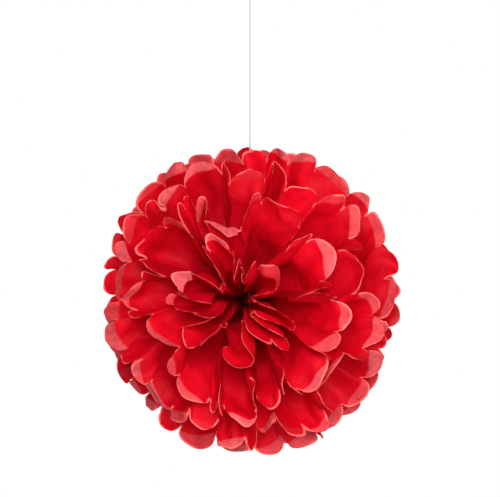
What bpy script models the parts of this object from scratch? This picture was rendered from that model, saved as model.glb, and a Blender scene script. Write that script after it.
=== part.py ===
"""Tissue paper pom pom: eight pleated sheets, tied at the middle, fanned into a ball and hung on a thread.

The origin is at the top of the hanging loop, where a hook carries it. The ball hangs below on +Z's line.
The tied strip lies along X, its two fans open to the left and right, and the flower faces -Y and +Y.
"""
import math

import bmesh
import bpy
import numpy as np

NAME = "tissue_paper_pom_pom"

# Paper: each sheet is one rectangle, folded across its width into equal pleats
SHEET_COUNT = 8
PLEAT_COUNT = 16
SHEET_LENGTH = 0.254
SHEET_WIDTH = 0.508
PAPER_WALL = 0.0003
PETAL_ROUND = 0.012

# Ball: the polar angle of a sheet is measured from the front axis
FIRST_POLAR = math.radians(13)
FAN_REACH = math.radians(184)
FAN_LEAN = math.radians(13)
SEAM_SWING = math.radians(15)
SEAM_DRIFT = 0.02
BALL_STRETCH = (0.975, 1.0, 1.05)

# Tie at the middle of the strip; lists go from the outermost sheet to the innermost
NECK_HALVES = (0.0015, 0.0015, 0.0015, 0.005)
NECK_OUTER = 0.004
NECK_GROWTH = 0.0015
NECK_PITCH = 0.0012
TIE_WIRE = 0.001
TWIST_HEIGHT = 0.010
TWIST_TURNS = 2
CLEARANCE = 0.0003

# Thread and its hanging loop
THREAD = 0.001
THREAD_ABOVE_BALL = 0.136
THREAD_TURNS = 1.5
KNOT_HEIGHT = 0.0034
KNOT_WIDTH = 0.0036
LOOP_HEIGHT = 0.022
LOOP_WIDTH = 0.010

# Irregular hand opening, all from fixed seeds
LAYOUT_SEEDS = (1183, 2002, 3005, 4000, 5000, 6000, 7003, 8319)
PAIRED_OUTER = (1.0, 0.95, 0.90, 0.60)
PAIRED_INNER = (0.70, 0.15, 0.75, 0.50)
NARROWEST_WALLS = (0.0018, 0.0025, 0.0035, 0.0035)
WIDEST_PETAL = 0.94
GAP_WEIGHTS = (3.0, 2.0, 0.5)
FOLDED_TIPS = 0.62
CREASE_RADIUS = 0.0013
TIP_SHOULDER = 0.8
RUMPLE = 0.008
RUMPLE_SEED = 11
RUMPLE_WAVES = ((0.15, 0.32), (0.085, 0.21), (0.055, 0.12))

# Sizes that follow
PLEAT = SHEET_WIDTH / PLEAT_COUNT
NECK_INNER = NECK_OUTER + NECK_GROWTH * (SHEET_COUNT / 2 - 1)
BALL_RADIUS = SHEET_LENGTH / 2 * BALL_STRETCH[2]
BALL_CENTRE_Z = -(LOOP_HEIGHT + KNOT_HEIGHT + 2 * CLEARANCE + THREAD_ABOVE_BALL + BALL_RADIUS)
SHEET_STEP = (math.pi - 2 * FIRST_POLAR) / (SHEET_COUNT - 1)

# The grid of a sheet: fold lines with two columns between them, and rows out along the petal
COLUMNS = (0.0, 0.2, 0.8)
ROWS = (0.0, 0.3, 0.68, 1.0)
SHARED_ROW_COUNT = 2

COLOURS = {
    "tissue_red": (0.60, 0.003, 0.018),
    "tie_wire": (0.07, 0.067, 0.064),
    "thread_white": (0.80, 0.80, 0.79),
}


class SheetPlan:
    """Where the folds of one fan of one sheet lie, and how each of its petals is bent."""

    def __init__(self, sheet, end):
        """Draw the irregular layout of one fan.

        Args:
            sheet: index of the sheet, 0 at the front.
            end: 1 for the fan at +X, -1 for the fan at -X.
        """
        self.sheet = sheet
        self.end = end
        self.depth = min(sheet, SHEET_COUNT - 1 - sheet)
        self.outward = 1 if sheet < SHEET_COUNT / 2 else -1
        self.polar = FIRST_POLAR + SHEET_STEP * sheet
        self.neck = NECK_OUTER + NECK_GROWTH * self.depth
        self.lean = FAN_LEAN * math.sqrt(abs(math.cos(self.polar)))
        self.swing_way = 1 if sheet % 2 else -1
        self.neck_half = NECK_HALVES[self.depth]
        self.reach = SHEET_LENGTH / 2 - self.neck_half - NECK_OUTER
        rng = np.random.default_rng(2 * LAYOUT_SEEDS[sheet] + (end > 0))
        self.sign = self.fold_signs(rng)
        self.tangent = self.sign[1:] == self.sign[:-1]
        self.theta = self.fold_angles(rng)
        self.tied = np.arcsin(2 * np.arange(PLEAT_COUNT + 1) / PLEAT_COUNT - 1)
        self.gap = np.diff(self.theta)
        self.mean_gap = np.gradient(self.theta)
        self.wall_gap = self.widest_wall()
        self.swing = rng.uniform(-1, 1, 6)
        folds = PLEAT_COUNT + 1
        self.wobble = rng.uniform(-1, 1, folds) * math.radians(2.5) + self.slow_wave(1.0) * math.radians(4)
        self.bend = rng.uniform(-1, 1, folds) * math.radians(9)
        self.notch = self.reach - PETAL_ROUND + rng.uniform(-0.004, 0.001, folds)
        self.amplitude = rng.uniform(0.6, 1.0, folds)
        self.curl = self.tip_curls(rng)
        self.crease = rng.uniform(0.0003, 0.0060, PLEAT_COUNT)
        self.crease_slope = rng.uniform(-0.24, 0.24, PLEAT_COUNT)
        self.bulge = rng.uniform(0.35, 0.85, PLEAT_COUNT)
        self.sideways = np.where(rng.random(PLEAT_COUNT) < 0.5, -1, 1) * rng.uniform(0.1, 0.6, PLEAT_COUNT)
        self.softness = rng.uniform(0.4, 1.0, PLEAT_COUNT)

    def fold_signs(self, rng):
        """Return which side of the sheet's mean surface each fold stands on."""
        signs = []
        value = self.end
        while len(signs) < PLEAT_COUNT + 1:
            paired = PAIRED_OUTER if value == self.outward else PAIRED_INNER
            run = 2 if rng.random() < paired[self.depth] else 1
            signs += [value] * run
            value = -value
        return np.array(signs[:PLEAT_COUNT + 1])

    def fold_angles(self, rng):
        """Return the angle of each fold round the flower's axis, from the bottom to the top."""
        ring = self.reach * math.sin(self.polar)
        wide = self.tangent & (self.sign[1:] == self.outward)
        outer, inner, wall = GAP_WEIGHTS
        gap = np.where(wide, outer, np.where(self.tangent, inner, wall))
        gap = gap * np.exp(0.45 * rng.uniform(-1, 1, PLEAT_COUNT))
        most = WIDEST_PETAL * PLEAT / np.where(wide, ring + 0.010, ring)
        least = NARROWEST_WALLS[self.depth] / ring
        gap = gap * FAN_REACH / gap.sum()
        for _ in range(12):
            gap = np.clip(gap, least, most)
            free = (gap < 0.999 * most) & (gap > 1.001 * least)
            if free.any():
                gap[free] *= 1 + (FAN_REACH - gap.sum()) / gap[free].sum()
        theta = np.concatenate([[0], np.cumsum(gap)])
        return (theta / theta[-1] - 0.5) * FAN_REACH

    def widest_wall(self):
        """Return, for each fold, the widest angle of the pleats beside it that run in and out."""
        widest = []
        for fold in range(PLEAT_COUNT + 1):
            beside = [k for k in (fold - 1, fold) if 0 <= k < PLEAT_COUNT]
            walls = [self.gap[k] for k in beside if not self.tangent[k]]
            widest.append(max(walls or [self.gap[beside[0]]]))
        return np.array(widest)

    def slow_wave(self, height):
        """Return a slow wave along the fan, one value a fold."""
        turn = (self.theta / FAN_REACH + 0.5) * 2 * math.pi
        wave = sum(self.swing[k] * np.sin((k + 1) * turn + 3 * self.swing[k + 3]) / (k + 1) for k in range(3))
        return height * wave / 1.8

    def tip_curls(self, rng):
        """Return the angle through which each petal's tip is folded over."""
        from_axis = math.degrees(self.polar if self.outward > 0 else math.pi - self.polar)
        folded = np.clip(90 - from_axis + rng.normal(10, 18, PLEAT_COUNT), 25, 120)
        plain = rng.uniform(0, 25, PLEAT_COUNT)
        curl = np.radians(np.where(rng.random(PLEAT_COUNT) < FOLDED_TIPS, folded, plain))
        width = self.gap * self.reach * math.sin(self.polar)
        curl = curl * np.clip((width / PLEAT - 0.15) / 0.45, 0.02, 1)
        depth = 0.8 * np.sqrt(PLEAT ** 2 - np.minimum(width, PLEAT) ** 2)
        reach = TIP_SHOULDER * PETAL_ROUND * depth / np.hypot(width, depth)
        for fold in range(1, PLEAT_COUNT):
            first, last = fold - 1, fold
            if self.sign[fold] == self.outward or self.tangent[first] or self.tangent[last]:
                continue
            if curl[first] * width[first] < curl[last] * width[last]:
                first, last = last, first
            room = 0.4 * min(width[first], width[last]) - 2 * PAPER_WALL
            for pleat, share in ((first, 0.9), (last, 0.1)):
                most = math.asin(min(max(share * room / reach[pleat], 0.01), 1))
                curl[pleat] = min(curl[pleat], most) if most < 1.5 else curl[pleat]
        return curl


def smooth(value, low, high):
    """Return a smooth step from 0 at low to 1 at high."""
    share = np.clip((value - low) / (high - low), 0, 1)
    return share * share * (3 - 2 * share)


def across(plan, values, pleat, share):
    """Return values given at the folds, read at a share of the way across a pleat."""
    return ((1 - share) * values[pleat] + share * values[pleat + 1])[:, None]


def fan_points(plan, pleat, share, rows):
    """Return the points of one fan's surface.

    Args:
        plan: the fan's SheetPlan.
        pleat: index of each column's pleat.
        share: how far across its pleat each column lies, 0 to 1.
        rows: distance of each row along the petal, as a share of the way to the crease.

    Returns:
        An array of points, a column a line: the rows, then the petal's tip.
    """
    cap = np.sqrt(np.clip(1 - np.abs(2 * share - 1) ** 2.1, 0, 1))
    notch = (1 - share) * plan.notch[pleat] + share * plan.notch[pleat + 1]
    tip = notch + PETAL_ROUND * cap
    slope = plan.crease_slope[pleat] * (share - 0.5) * PLEAT
    crease = np.minimum(notch + (plan.crease[pleat] + slope) * smooth(cap, 0, 0.5), tip)
    along = np.concatenate([crease[:, None] * np.array(rows)[None, :], tip[:, None]], 1)
    quotient = along / plan.reach
    near = plan.neck + along * math.sin(plan.polar)
    opened = smooth(along, 0.035, 0.095)
    spread = smooth(along, 0.004, 0.045)
    even = FAN_REACH / PLEAT_COUNT

    def angle(values):
        """Return angles between folds, evened out towards the tie."""
        return even + (values[:, None] - even) * spread

    def ruffle(fold):
        """Return how far a fold stands off the sheet's mean surface."""
        full = 0.5 * np.sqrt(np.clip(PLEAT ** 2 - (angle(plan.wall_gap[fold]) * near) ** 2, 1e-9, None))
        gathered = 1.35 * angle(plan.mean_gap[fold]) * near * (1 + 1.6 * opened)
        return (plan.sign[fold] * plan.amplitude[fold])[:, None] * np.minimum(full, gathered)

    eased = 0.5 * (1 - np.cos(math.pi * share))
    eased = share + (eased - share) * plan.softness[pleat]
    first, last = ruffle(pleat), ruffle(pleat + 1)
    offset = (1 - eased)[:, None] * first + eased[:, None] * last
    width = angle(plan.gap[pleat]) * near
    chord = np.sqrt(width ** 2 + (last - first) ** 2)
    rise = np.sqrt(0.375 * chord * np.clip(PLEAT - chord, 0, None))
    rise = np.minimum(rise, 0.8 * width) * np.sin(math.pi * share)[:, None] * opened
    tangent = plan.tangent[pleat][:, None]
    offset = offset + np.where(tangent, (plan.sign[pleat] * plan.bulge[pleat])[:, None] * rise, 0)
    offset = offset + along * across(plan, plan.wobble, pleat, eased)
    offset = offset + along * across(plan, plan.bend, pleat, eased) * (quotient ** 2 - 0.5)
    offset = held_in_lane(plan, offset, along, quotient)

    theta = (1 - share) * plan.theta[pleat] + share * plan.theta[pleat + 1]
    regular = (1 - share) * plan.tied[pleat] + share * plan.tied[pleat + 1]
    turn = theta / FAN_REACH + 0.5
    drift = sum(plan.swing[k] * np.sin(2 * math.pi * (k + 1) * turn + 5 * plan.swing[k]) / (k + 1) for k in range(3))
    drift = drift * np.sin(math.pi * turn) * SEAM_DRIFT * FAN_REACH
    theta = regular[:, None] + (theta - regular)[:, None] * spread + drift[:, None] * quotient ** 2
    theta = theta + plan.end * plan.swing_way * SEAM_SWING * smooth(along, 0.004, 0.030)
    polar = plan.polar + plan.outward * plan.lean * (quotient ** 2 / 3 - 0.4)
    out = direction(polar, theta)
    back = direction(polar + math.pi / 2, theta)
    side = np.stack([-np.sin(theta), 0 * theta, np.cos(theta)], -1)
    neck = np.stack([plan.neck_half + plan.neck * np.cos(theta), 0 * theta, plan.neck * np.sin(theta)], -1)
    points = neck + out * along[..., None] + back * offset[..., None]
    slip = 0.4 * plan.sideways[pleat][:, None] * rise * smooth(width / PLEAT, 0.1, 0.4)
    points = points + side * np.where(tangent, 0, slip)[..., None]

    normal = petal_normal(plan, pleat, back, side, width, last - first)
    points = points + folded_tip(plan, pleat, along - crease[:, None], out, normal)
    level = ((SHEET_COUNT - 1) / 2 - plan.sheet) * NECK_PITCH
    points = np.stack([plan.end * points[..., 0], -(points[..., 1] + level), points[..., 2]], -1)
    return rumpled(points)


def direction(polar, theta):
    """Return the unit vector at a polar angle from the flower's axis and an angle round it."""
    return np.stack([np.sin(polar) * np.cos(theta), np.cos(polar) + 0 * theta, np.sin(polar) * np.sin(theta)], -1)


def held_in_lane(plan, offset, along, quotient):
    """Keep a sheet's ruffles in its own share of the space between its neighbours."""
    lane = NECK_PITCH + 0.95 * SHEET_STEP * along
    outer = (0.45 - 0.12 * smooth(quotient, 0.4, 0.9)) * lane - 0.7 * PAPER_WALL
    inner = (0.45 - 0.07 * smooth(quotient, 0.4, 0.9)) * lane - 0.7 * PAPER_WALL
    limit = np.where(offset * plan.outward > 0, outer, inner)
    return offset / (1 + np.abs(offset / limit) ** 4) ** 0.25


def petal_normal(plan, pleat, back, side, width, step):
    """Return the way each petal's tip folds over: away from the ruffle that it closes."""
    width = width[..., None]
    step = step[..., None]
    size = np.sqrt(width ** 2 + step ** 2) + 1e-9
    wall = (back * width - side * step) / size * plan.outward
    closed = back * plan.sign[pleat][:, None, None]
    return np.where(plan.tangent[pleat][:, None, None], closed, wall)


def folded_tip(plan, pleat, past, out, normal):
    """Return how far the points past a petal's crease move when its tip is folded over."""
    curl = plan.curl[pleat][:, None]
    past = np.clip(past, 0, None)
    turned = np.minimum(past / CREASE_RADIUS, curl)
    rest = np.clip(past - CREASE_RADIUS * curl, 0, None)
    ahead = CREASE_RADIUS * np.sin(turned) + rest * np.cos(curl) - past
    aside = CREASE_RADIUS * (1 - np.cos(turned)) + rest * np.sin(curl)
    return out * ahead[..., None] + normal * aside[..., None]


def rumpled(points):
    """Return points moved by slow waves through space, so that no two petals hang alike."""
    rng = np.random.default_rng(RUMPLE_SEED)
    flat = points.reshape(-1, 3)
    radius = np.linalg.norm(flat, axis=1)
    from_thread = np.hypot(flat[:, 0], flat[:, 1])
    near = smooth(np.where(flat[:, 2] > 0, from_thread, radius), 0, 0.03)
    move = np.zeros_like(flat)
    for wave, share in RUMPLE_WAVES:
        for axis in range(3):
            for _ in range(3):
                vector = rng.normal(size=3)
                vector = vector / np.linalg.norm(vector) * 2 * math.pi / wave
                move[:, axis] += share * np.sin(flat @ vector + rng.uniform(0, 2 * math.pi))
    move *= (RUMPLE * near * np.clip(radius / 0.1, 0, 1) ** 1.5)[:, None]
    inward = (move * flat).sum(1) / np.maximum(radius, 1e-6) ** 2
    flat = (flat + move - 0.7 * inward[:, None] * flat) * np.array(BALL_STRETCH)
    flat = flat + np.array([0, 0, BALL_CENTRE_Z])
    return flat.reshape(points.shape)


def sheet_points(sheet):
    """Return every grid point of one sheet: a line for each column, from one fan's rim to the other's."""
    places = [k + share for k in range(PLEAT_COUNT) for share in COLUMNS] + [PLEAT_COUNT]
    places = np.array(places)
    nearest = np.round(places)
    fans = []
    for end in (-1, 1):
        plan = SheetPlan(sheet, end)
        rows = []
        for columns in (nearest, places):
            pleat = np.minimum(columns.astype(int), PLEAT_COUNT - 1)
            rows.append(fan_points(plan, pleat, columns - pleat, ROWS))
        gathered, spread = rows
        fan = np.concatenate([gathered[:, :SHARED_ROW_COUNT], spread[:, SHARED_ROW_COUNT:]], 1)
        fans.append(fan if end > 0 else fan[:, ::-1])
    return np.concatenate(fans, 1)


def make_material(name):
    """Return a plain material of one of the part's colours."""
    material = bpy.data.materials.new(name)
    material.use_nodes = True
    shader = material.node_tree.nodes["Principled BSDF"]
    shader.inputs["Base Color"].default_value = (*COLOURS[name], 1)
    shader.inputs["Roughness"].default_value = 0.45 if name == "tie_wire" else 0.75
    shader.inputs["Metallic"].default_value = 1.0 if name == "tie_wire" else 0.0
    return material


def keep(obj, name, material, collection):
    """Name an object, give it its material and put it in the part's collection."""
    obj.name = name
    obj.data.name = name
    obj.data.materials.clear()
    obj.data.materials.append(material)
    for other in list(obj.users_collection):
        other.objects.unlink(obj)
    collection.objects.link(obj)
    return obj


def make_sheet(sheet, material, collection):
    """Make one pleated sheet from a flat grid, with both fans and the tied neck between them."""
    points = sheet_points(sheet)
    columns, rows = points.shape[0] - 1, points.shape[1] - 1
    bpy.ops.mesh.primitive_grid_add(x_subdivisions=columns, y_subdivisions=rows, size=2)
    obj = bpy.context.object
    for vertex in obj.data.vertices:
        column = round((vertex.co.x + 1) / 2 * columns)
        row = round((vertex.co.y + 1) / 2 * rows)
        vertex.co = points[column, row]
    mesh = bmesh.new()
    mesh.from_mesh(obj.data)
    bmesh.ops.remove_doubles(mesh, verts=mesh.verts, dist=0.00002)
    mesh.to_mesh(obj.data)
    mesh.free()
    shell = obj.modifiers.new("paper_wall", "SOLIDIFY")
    shell.thickness = PAPER_WALL
    shell.offset = 0
    shell.use_quality_normals = True
    return keep(obj, f"sheet_{sheet + 1}", material, collection)


def make_tube(name, points, diameter, material, collection):
    """Make a round wire or thread along a list of points."""
    curve = bpy.data.curves.new(name, "CURVE")
    curve.dimensions = "3D"
    curve.bevel_depth = diameter / 2
    curve.bevel_resolution = 2
    curve.use_fill_caps = True
    spline = curve.splines.new("POLY")
    spline.points.add(len(points) - 1)
    for target, point in zip(spline.points, points):
        target.co = (*point, 1)
    return keep(bpy.data.objects.new(name, curve), name, material, collection)


def tie_ring():
    """Return the half widths of the tie round the necks, along Y and Z, at the middle of its wire."""
    bundle = (SHEET_COUNT - 1) / 2 * NECK_PITCH * BALL_STRETCH[1]
    margin = PAPER_WALL + CLEARANCE + TIE_WIRE / 2
    return bundle + 2 * margin, NECK_INNER * BALL_STRETCH[2] + margin + CLEARANCE


def tie_wire_points():
    """Return the tie wire's line: up to the bundle, once round it, and twisted together above it."""
    half_y, half_z = tie_ring()
    strand = TIE_WIRE / 2 + CLEARANCE
    opening = math.asin(strand / half_y)
    top = half_z * math.cos(opening)
    points = []
    steps = 6 * TWIST_TURNS
    for step in range(steps + 1):
        turn = 2 * math.pi * TWIST_TURNS * (1 - step / steps)
        height = top + TIE_WIRE + TWIST_HEIGHT * (1 - step / steps)
        points.append((strand * math.sin(turn), strand * math.cos(turn), height))
    for step in range(19):
        turn = opening + (2 * math.pi - 2 * opening) * step / 18
        points.append((0, half_y * math.sin(turn), half_z * math.cos(turn)))
    for step in range(steps + 1):
        turn = 2 * math.pi * TWIST_TURNS * step / steps
        height = top + TIE_WIRE + TWIST_HEIGHT * step / steps
        points.append((-strand * math.sin(turn), -strand * math.cos(turn), height))
    return [(x, y, z + BALL_CENTRE_Z) for x, y, z in points]


def thread_points():
    """Return the thread's line: wound on the twisted wire, then straight up to its knot."""
    wound = TIE_WIRE + 2 * CLEARANCE + THREAD / 2
    start = BALL_CENTRE_Z + tie_ring()[1] + TIE_WIRE + 0.3 * TWIST_HEIGHT
    twist_top = BALL_CENTRE_Z + tie_ring()[1] + TIE_WIRE + TWIST_HEIGHT
    points = []
    steps = round(10 * THREAD_TURNS)
    for step in range(steps + 1):
        turn = 2 * math.pi * step / 10
        rise = (THREAD + 2 * CLEARANCE) * step / 10
        points.append((wound * math.cos(turn), wound * math.sin(turn), start + rise))
    last = points[-1]
    clear = twist_top + TIE_WIRE + 2 * THREAD
    points.append((last[0], last[1] - 0.0012, last[2] + 0.0012))
    points.append((last[0] * 0.98, -0.0006, (last[2] + clear) / 2))
    points.append((last[0] * 0.6, 0, clear))
    points.append((0, 0, clear + 3 * THREAD))
    top = -(LOOP_HEIGHT + KNOT_HEIGHT + CLEARANCE)
    for step in range(1, 3):
        points.append((0, 0, clear + 3 * THREAD + (top - clear - 3 * THREAD) * step / 2))
    return points


def loop_points():
    """Return the hanging loop's line: a drop shape whose inner top is at the origin."""
    points = []
    leg = THREAD / 2 + CLEARANCE / 2
    for step in range(23):
        share = step / 22
        turn = math.pi * (2 * share - 1)
        width = LOOP_WIDTH / 2 * math.sin(turn) * math.cos(turn / 2) ** 0.6 if abs(turn) < math.pi else 0
        height = -LOOP_HEIGHT * (0.5 - 0.5 * math.cos(turn))
        side = leg * smooth(abs(turn), 2.0, math.pi) * (1 if turn > 0 else -1)
        points.append((width + side, 0, height + THREAD / 2))
    return points


def make_knot(material, collection):
    """Make the knot between the thread and its loop, as a lumpy barrel."""
    middle = -(LOOP_HEIGHT + KNOT_HEIGHT / 2)
    bpy.ops.mesh.primitive_uv_sphere_add(segments=10, ring_count=6, radius=0.5)
    obj = bpy.context.object
    for vertex in obj.data.vertices:
        x, y, z = vertex.co
        lump = 1 + 0.10 * math.sin(3 * math.atan2(y, x) + 9 * z)
        shoulder = math.copysign(min(abs(z) * 1.25, 0.5), z)
        vertex.co = (x * KNOT_WIDTH * lump, y * KNOT_WIDTH * lump, middle + shoulder * (KNOT_HEIGHT - 2 * CLEARANCE))
    return keep(obj, "loop_knot", material, collection)


def main():
    """Build the whole part."""
    for obj in list(bpy.data.objects):
        bpy.data.objects.remove(obj, do_unlink=True)
    collection = bpy.data.collections.new(NAME)
    bpy.context.scene.collection.children.link(collection)
    paper = make_material("tissue_red")
    wire = make_material("tie_wire")
    thread = make_material("thread_white")
    for sheet in range(SHEET_COUNT):
        make_sheet(sheet, paper, collection)
    make_tube("tie_wire", tie_wire_points(), TIE_WIRE, wire, collection)
    make_tube("hanging_thread", thread_points(), THREAD, thread, collection)
    make_tube("hanging_loop", loop_points(), THREAD, thread, collection)
    make_knot(thread, collection)


if __name__ == "__main__":
    main()
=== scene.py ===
"""Looks of the tissue paper pom pom: its eight dyed sheets, the tie wire, the thread and the hanging loop.

Each sheet starts as a flat grid, is folded, tied and opened by the rule that the CAD follows, and gets the
thickness and crumples of real tissue, with painted highlights on its folded tips and along its cut edges, and
painted shade near the tie.
"""
import logging
import math
from dataclasses import dataclass
from enum import Enum

import bmesh
import bpy
import numpy as np
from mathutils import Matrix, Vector

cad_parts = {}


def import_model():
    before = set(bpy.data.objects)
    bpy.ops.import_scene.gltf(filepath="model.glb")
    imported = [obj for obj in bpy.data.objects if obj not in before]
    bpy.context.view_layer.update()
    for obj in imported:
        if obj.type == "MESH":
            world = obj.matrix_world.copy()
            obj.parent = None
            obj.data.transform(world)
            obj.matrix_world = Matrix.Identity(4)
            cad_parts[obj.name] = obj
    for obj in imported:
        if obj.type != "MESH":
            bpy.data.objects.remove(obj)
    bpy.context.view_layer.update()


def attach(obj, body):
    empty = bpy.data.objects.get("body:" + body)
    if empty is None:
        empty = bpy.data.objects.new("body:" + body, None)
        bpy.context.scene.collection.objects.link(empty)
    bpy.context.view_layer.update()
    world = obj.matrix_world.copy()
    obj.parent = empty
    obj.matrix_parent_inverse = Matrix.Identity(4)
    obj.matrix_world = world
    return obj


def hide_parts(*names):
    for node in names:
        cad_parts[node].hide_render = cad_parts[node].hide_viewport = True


LOG = logging.getLogger("pom_pom")
Array = np.ndarray
Node = bpy.types.Node
Socket = bpy.types.NodeSocket


class Side(Enum):
    """The two fans of a sheet, by the side of the tie that they open on."""

    LEFT = -1
    RIGHT = 1


@dataclass(frozen=True)
class Paper:
    """One sheet of tissue: sizes in metres, its pleats, and plain numbers that shape its petals and grid."""

    length: float = 0.254
    width: float = 0.508
    pleats: int = 16
    wall: float = 0.00015
    cad_wall: float = 0.0003
    petal_round: float = 0.012
    petal_shape: float = 2.1
    crease_radius: float = 0.0013
    cut_margin: float = 0.0004
    flutter: float = 0.004
    flutter_range: tuple[float, float] = (0.45, 1.0)
    narrowest_walls: tuple[float, ...] = (0.0018, 0.0025, 0.0035, 0.0035)
    grid_rows: tuple[int, int, int] = (27, 4, 8)
    row_bias: float = 0.9
    edge_points: int = 25
    edge_window: float = 1.2
    roomy_width: float = 0.6
    least_room: float = 0.2
    # Tips curled past pale_from, in radians, take a painted highlight, growing over pale_fade.
    pale_from: float = 0.14
    pale_fade: float = 0.2

    @property
    def pleat(self) -> float:
        """Return the width of one pleat."""
        return self.width / self.pleats


@dataclass(frozen=True)
class Opening:
    """How the tied strip is opened into a ball: angles in radians, lengths in metres.

    Four values in brackets go from the outermost sheet to the innermost. A range says where something sets
    in, by distance from the neck; the seam's is from the flower's axis, the taper's in shares of a petal.
    """

    sheets: int = 8
    first_polar: float = math.radians(13)
    fan_reach: float = math.radians(184)
    fan_lean: float = math.radians(13)
    seam_swing: float = math.radians(15)
    seam_drift: float = 0.02
    seam_meander: float = 0.0045
    seam_wave: float = 0.016
    seam_turns: int = 3
    seam_phase: float = 2.2
    seam_depth: float = 0.04
    seam_range: tuple[float, float] = (0.012, 0.050)
    ruffle_range: tuple[float, float] = (0.035, 0.095)
    spread_range: tuple[float, float] = (0.004, 0.045)
    swing_range: tuple[float, float] = (0.004, 0.030)
    lane_share: float = 0.95
    lane_side: float = 0.45
    lane_tapers: tuple[float, float] = (0.12, 0.07)
    taper_range: tuple[float, float] = (0.4, 0.9)
    wall_room: float = 0.7
    stretch: tuple[float, float, float] = (0.975, 1.0, 1.05)
    neck_halves: tuple[float, ...] = (0.0015, 0.0015, 0.0015, 0.005)
    neck_outer: float = 0.004
    neck_growth: float = 0.0015
    neck_pitch: float = 0.0012
    layout_seeds: tuple[int, ...] = (1183, 2002, 3005, 4000, 5000, 6000, 7003, 8319)
    paired_outer: tuple[float, ...] = (1.0, 0.95, 0.90, 0.60)
    paired_inner: tuple[float, ...] = (0.70, 0.15, 0.75, 0.50)
    widest_petal: float = 0.94
    gap_weights: tuple[float, float, float] = (3.0, 2.0, 0.5)
    gap_spread: float = 0.45
    bulge_room: float = 0.010
    fitting_rounds: int = 12
    gathering: float = 1.35
    opened_more: float = 1.6
    slip: float = 0.4
    slip_widths: tuple[float, float] = (0.1, 0.4)
    folded_tips: float = 0.62
    folded_degrees: tuple[float, float] = (25, 120)
    plain_degrees: float = 25
    tip_shoulder: float = 0.8
    tip_shares: tuple[float, float] = (0.9, 0.1)
    looks_seed: int = 9000
    rumple: float = 0.008
    rumple_radius: float = 0.1
    still_radius: float = 0.03
    inward_taken: float = 0.7
    rumple_seed: int = 11
    rumple_waves: tuple[tuple[float, float], ...] = ((0.15, 0.32), (0.085, 0.21), (0.055, 0.12))
    ruffle_waves: tuple[tuple[float, float], ...] = ((0.042, 0.17), (0.026, 0.08))

    @property
    def step(self) -> float:
        """Return the angle between neighbouring sheets."""
        return (math.pi - 2 * self.first_polar) / (self.sheets - 1)

    @property
    def neck_inner(self) -> float:
        """Return the half height of the innermost sheets' neck."""
        return self.neck_outer + self.neck_growth * (self.sheets / 2 - 1)

    def reach(self, paper: Paper, depth: int) -> float:
        """Return the length of a petal from the neck to its tip, on a sheet so deep in the stack."""
        return paper.length / 2 - self.neck_halves[depth] - self.neck_outer


@dataclass(frozen=True)
class Hanging:
    """Sizes of the tie wire, the thread, the knot and the loop, in metres."""

    wire: float = 0.001
    twist_height: float = 0.010
    twist_turns: int = 2
    clearance: float = 0.0003
    thread: float = 0.001
    above_ball: float = 0.136
    thread_turns: float = 1.5
    knot_height: float = 0.0034
    knot_width: float = 0.0036
    loop_height: float = 0.022
    loop_width: float = 0.010


PAPER = Paper()
OPENING = Opening()
HANGING = Hanging()
BALL_RADIUS = PAPER.length / 2 * OPENING.stretch[2]
BALL_CENTRE_Z = -(HANGING.loop_height + HANGING.knot_height + 2 * HANGING.clearance
                  + HANGING.above_ball + BALL_RADIUS)


def smooth(value: Array, low: float, high: float) -> Array:
    """Return a smooth step from 0 at low to 1 at high."""
    share = np.clip((value - low) / (high - low), 0, 1)
    return share * share * (3 - 2 * share)


def direction(polar: Array, theta: Array) -> Array:
    """Return the unit vector at a polar angle from the flower's axis and an angle round it."""
    ring = np.sin(polar)
    return np.stack([ring * np.cos(theta), np.cos(polar) + 0 * theta, ring * np.sin(theta)], -1)


def rumpled(points: Array) -> Array:
    """Move points by slow waves through space, so that no two petals hang alike.

    Args:
        points: points round the ball's own centre.

    Returns:
        The points in the part's frame.
    """
    rng = np.random.default_rng(OPENING.rumple_seed)
    flat = points.reshape(-1, 3)
    radius = np.linalg.norm(flat, axis=1)
    from_thread = np.hypot(flat[:, 0], flat[:, 1])
    near = smooth(np.where(flat[:, 2] > 0, from_thread, radius), 0, OPENING.still_radius)
    move = np.zeros_like(flat)
    for wave, share in OPENING.rumple_waves + OPENING.ruffle_waves:
        for axis in range(3):
            for _ in range(3):
                vector = rng.normal(size=3)
                vector = vector / np.linalg.norm(vector) * 2 * math.pi / wave
                move[:, axis] += share * np.sin(flat @ vector + rng.uniform(0, 2 * math.pi))
    move *= (OPENING.rumple * near * np.clip(radius / OPENING.rumple_radius, 0, 1) ** 1.5)[:, None]
    inward = (move * flat).sum(1) / np.maximum(radius, 1e-6) ** 2
    from_axis = np.hypot(flat[:, 0], flat[:, 2])
    # The gap between the two middle sheets wanders, so that no straight slit shows from the side
    turn = OPENING.seam_turns * np.arctan2(flat[:, 2], flat[:, 0]) + OPENING.seam_phase
    turn = turn + from_axis / OPENING.seam_wave
    meander = np.sin(turn) * near * smooth(from_axis, *OPENING.seam_range)
    move[:, 1] += OPENING.seam_meander * meander * np.exp(-(flat[:, 1] / OPENING.seam_depth) ** 2)
    flat = (flat + move - OPENING.inward_taken * inward[:, None] * flat) * np.array(OPENING.stretch)
    return (flat + np.array([0, 0, BALL_CENTRE_Z])).reshape(points.shape)


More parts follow.
